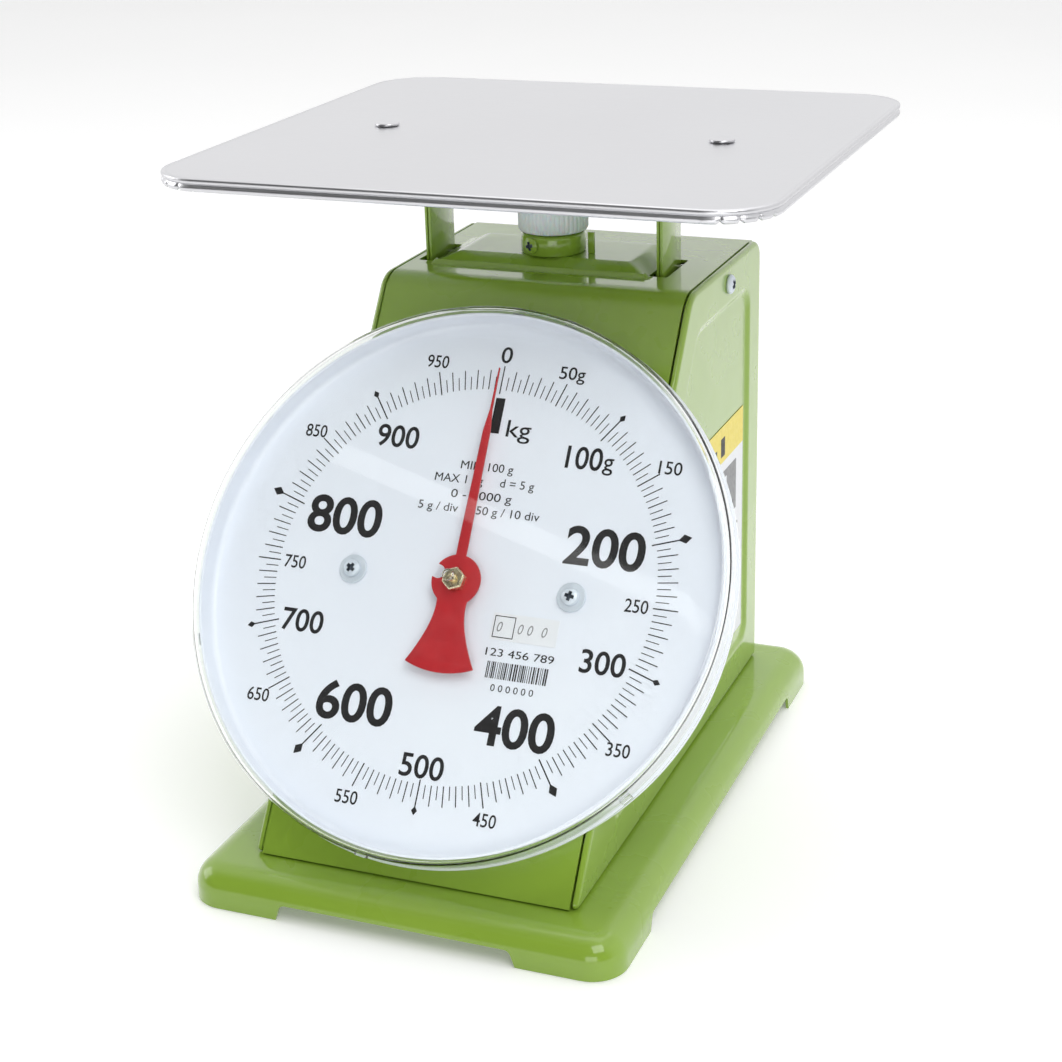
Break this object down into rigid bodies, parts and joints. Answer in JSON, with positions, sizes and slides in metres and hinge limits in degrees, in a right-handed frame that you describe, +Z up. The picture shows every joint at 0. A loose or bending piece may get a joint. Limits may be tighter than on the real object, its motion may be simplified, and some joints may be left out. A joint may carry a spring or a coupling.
{
  "type": "mechanical dial platform scale",
  "caption": "Spring scale with a flat square steel platter on posts above a slanted case, a round tilted dial with a red pointer and a zero-setting knob.",
  "frame": {"origin": "on the table surface, centred under the whole object in plan", "axes": "+Z up, -Y out of the dial towards the reader, +X to the reader's right; the longest extent runs along Y"},
  "size_m": [0.215, 0.2716, 0.2314],
  "materials": {
    "green_paint": "gloss yellow-green baked paint",
    "stainless": "fine satin stainless",
    "zinc_steel": "bright zinc plate",
    "white_plastic": "white enamel look, printed",
    "clear_plastic": "clear moulded cover",
    "milky_plastic": "translucent white, ribbed",
    "red_paint": "satin red",
    "brass": "bright",
    "spring_steel": "oiled wire",
    "label": "printed label"
  },
  "bodies": {
    "body": {"base_tray": "green_paint", "tray_screw_1": "zinc_steel", "tray_screw_2": "zinc_steel", "tray_screw_3": "zinc_steel", "tray_screw_4": "zinc_steel", "wrap_sheet": "green_paint", "back_cover": "green_paint", "side_label": "label", "rear_bracket": "zinc_steel", "front_bracket": "zinc_steel", "knob_collar": "green_paint", "collar_screw": "zinc_steel", "turn_stop": "green_paint", "side_panel_left": "green_paint", "side_panel_right": "green_paint", "side_screw_left": "zinc_steel", "side_screw_right": "zinc_steel", "dial_screw_left": "zinc_steel", "dial_screw_right": "zinc_steel", "dial_washer_left": "zinc_steel", "dial_washer_right": "zinc_steel", "dial_spacer_left": "zinc_steel", "dial_spacer_right": "zinc_steel", "link_pin_rear_lower": "zinc_steel", "link_pin_rear_upper": "zinc_steel", "rack_guide_pin_lower": "brass", "rack_guide_pin_upper": "brass", "dial_pan": "white_plastic", "lens_cover": "clear_plastic", "bearing_bracket": "zinc_steel", "spring_left": "spring_steel", "spring_right": "spring_steel"},
    "platform": {"platter": "stainless", "platter_bracket": "zinc_steel", "cradle_bridge": "green_paint", "cradle_bar": "zinc_steel", "drive_arm": "zinc_steel", "drive_pin": "zinc_steel", "platter_rivet_left": "stainless", "platter_rivet_right": "stainless", "post_left": "green_paint", "post_right": "green_paint", "link_pin_front_lower": "zinc_steel", "link_pin_front_upper": "zinc_steel"},
    "rack": {"rack": "brass"},
    "pointer": {"pointer": "red_paint", "pointer_nut": "brass", "pinion_shaft": "brass"},
    "link_lower": {"guide_link_lower": "zinc_steel"},
    "link_upper": {"guide_link_upper": "zinc_steel"},
    "zero_knob": {"zero_knob": "milky_plastic", "zero_rod": "zinc_steel"},
    "hanger": {"hanger_yoke": "zinc_steel"}
  },
  "joints": [
    {"name": "platform_slide", "type": "slide", "parent": "body", "child": "platform", "axis": [0, 0, -1], "range_m": [0, 0.012], "stiffness_N_per_m": 820, "springref_m": -0.0095, "deforming": ["spring_left", "spring_right"]},
    {"name": "pointer_turn", "type": "hinge", "parent": "body", "child": "pointer", "pos_m": [0.00535, -0.06219, 0.09454], "axis": [0, 0.8141, -0.5807], "range_deg": [0, 361]},
    {"name": "rack_slide", "type": "slide", "parent": "body", "child": "rack", "axis": [0, -0.5807, -0.8141], "range_m": [0, 0.0098]},
    {"name": "lower_link_turn", "type": "hinge", "parent": "body", "child": "link_lower", "pos_m": [0, 0.07665, 0.066], "axis": [1, 0, 0], "range_deg": [0, 19.5]},
    {"name": "upper_link_turn", "type": "hinge", "parent": "body", "child": "link_upper", "pos_m": [0, 0.07665, 0.144], "axis": [1, 0, 0], "range_deg": [0, 19.5]},
    {"name": "zero_knob_turn", "type": "hinge", "parent": "body", "child": "zero_knob", "pos_m": [0, 0.03615, 0.2], "axis": [0, 0, 1], "range_deg": [-180, 180]},
    {"name": "hanger_lift", "type": "slide", "parent": "body", "child": "hanger", "axis": [0, 0, 1], "range_m": [-0.0004, 0.0004]}
  ],
  "couplings": [
    {"joint": "pointer_turn", "follows": "platform_slide", "rad_per_m": 523.6},
    {"joint": "rack_slide", "follows": "platform_slide", "ratio": 0.81412},
    {"joint": "lower_link_turn", "follows": "platform_slide", "rad_per_m": 27.908},
    {"joint": "upper_link_turn", "follows": "platform_slide", "rad_per_m": 27.908},
    {"joint": "hanger_lift", "follows": "zero_knob_turn", "m_per_rad": 0.00011141}
  ]
}
